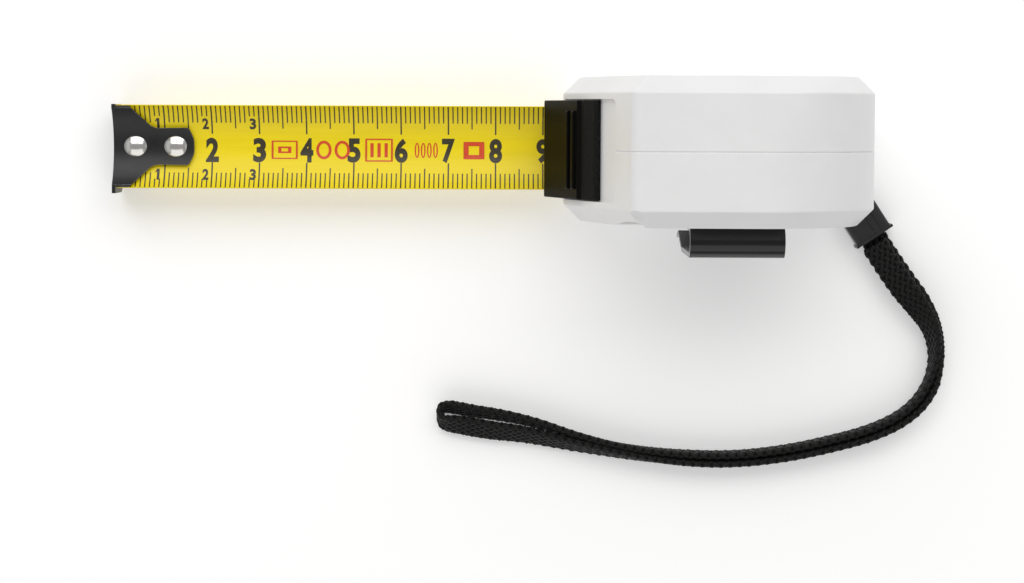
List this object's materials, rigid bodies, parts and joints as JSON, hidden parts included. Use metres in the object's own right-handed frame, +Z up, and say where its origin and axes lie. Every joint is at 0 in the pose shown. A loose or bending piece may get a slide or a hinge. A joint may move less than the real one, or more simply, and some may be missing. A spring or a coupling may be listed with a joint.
{
  "type": "tape measure",
  "caption": "Pocket tape measure with a white case, curved steel blade, end hook, sliding blade lock, belt clip and a looped wrist strap.",
  "frame": {"origin": "centre of the case's flat base, on the seam between its halves", "axes": "+Z up, blade runs out along -X, belt clip on the -Y side"},
  "size_m": [0.1774, 0.0835, 0.0608],
  "materials": {
    "case_white": "satin moulded",
    "button_black": "gloss",
    "inner_plastic": "moulded",
    "blade_yellow": "printed and lacquered",
    "hook_black": "black oxide",
    "bright_steel": "polished",
    "spring_steel": "rolled",
    "clip_black": "black gloss",
    "rubber_black": "matt",
    "strap_fabric": "braided",
    "collar_black": "satin",
    "label_grey": "satin"
  },
  "bodies": {
    "case": {"clip_side_shell": "case_white", "plain_side_shell": "case_white", "case_screws": "spring_steel", "blade_lead": "blade_yellow", "brake_block": "inner_plastic", "hook_bumper": "rubber_black", "belt_clip": "clip_black", "clip_screw": "bright_steel", "centre_screw": "bright_steel", "label_disc": "label_grey", "spring_arbor": "bright_steel", "arbor_washers": "inner_plastic", "strap_pin": "bright_steel", "strap_tail": "strap_fabric", "strap_collar": "collar_black", "wrist_strap": "strap_fabric"},
    "reel": {"reel_drum": "inner_plastic", "reel_cover": "inner_plastic", "blade_coil": "blade_yellow", "power_spring": "spring_steel"},
    "blade": {"blade_run": "blade_yellow"},
    "hook": {"end_hook": "hook_black", "hook_rivets": "bright_steel"},
    "lock": {"lock_button": "button_black", "lock_slider": "inner_plastic"}
  },
  "joints": [
    {"name": "reel_spin", "type": "hinge", "parent": "case", "child": "reel", "pos_m": [0.003, 0, 0.0342], "axis": [0, -1, 0], "range_deg": [0, 231.65], "deforming": ["power_spring"]},
    {"name": "blade_slide", "type": "slide", "parent": "case", "child": "blade", "axis": [1, 0, 0], "range_m": [0, 0.094], "deforming": ["blade_run"]},
    {"name": "hook_play", "type": "slide", "parent": "blade", "child": "hook", "axis": [-1, 0, 0], "range_m": [0, 0.0008]},
    {"name": "lock_slide", "type": "slide", "parent": "case", "child": "lock", "axis": [0.3382, 0, 0.9411], "range_m": [0, 0.008]}
  ],
  "couplings": [
    {"joint": "blade_slide", "follows": "reel_spin", "m_per_rad": 0.0232}
  ]
}
